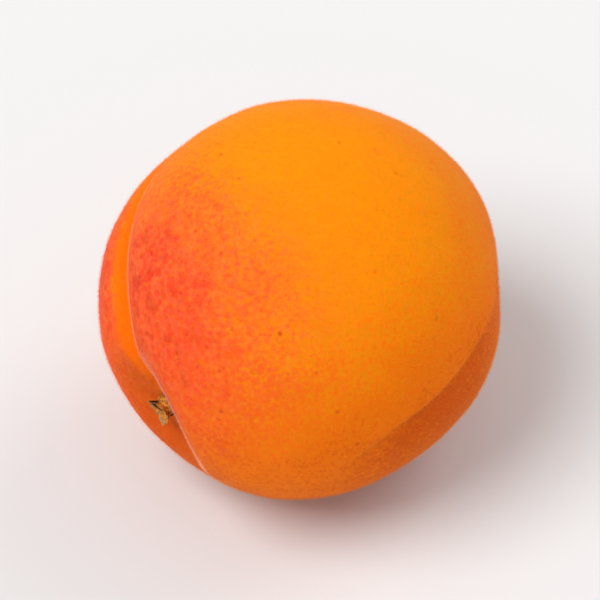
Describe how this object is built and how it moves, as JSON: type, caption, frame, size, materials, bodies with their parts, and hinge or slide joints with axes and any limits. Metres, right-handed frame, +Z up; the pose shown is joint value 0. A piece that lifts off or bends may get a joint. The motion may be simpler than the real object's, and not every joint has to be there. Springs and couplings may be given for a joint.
{
  "type": "apricot",
  "caption": "Ripe apricot lying on its side, with its suture, stem cavity and dry stalk remnant, resting on a small flat spot.",
  "frame": {"origin": "on the surface that the fruit rests on, below the middle of its bounding box", "axes": "+Z up; the stem end points to -X and -Y and about 10 degrees below level, and the suture runs from it over the -X side and the top"},
  "size_m": [0.048, 0.0464, 0.0471],
  "materials": {
    "skin": "downy, matt to satin, orange with a red blush on the side that faced the sun",
    "dry_stalk": "dry, rough, torn, brown with a darker rim"
  },
  "bodies": {
    "root": {"fruit": "skin", "stalk_remnant": "dry_stalk"}
  },
  "joints": []
}
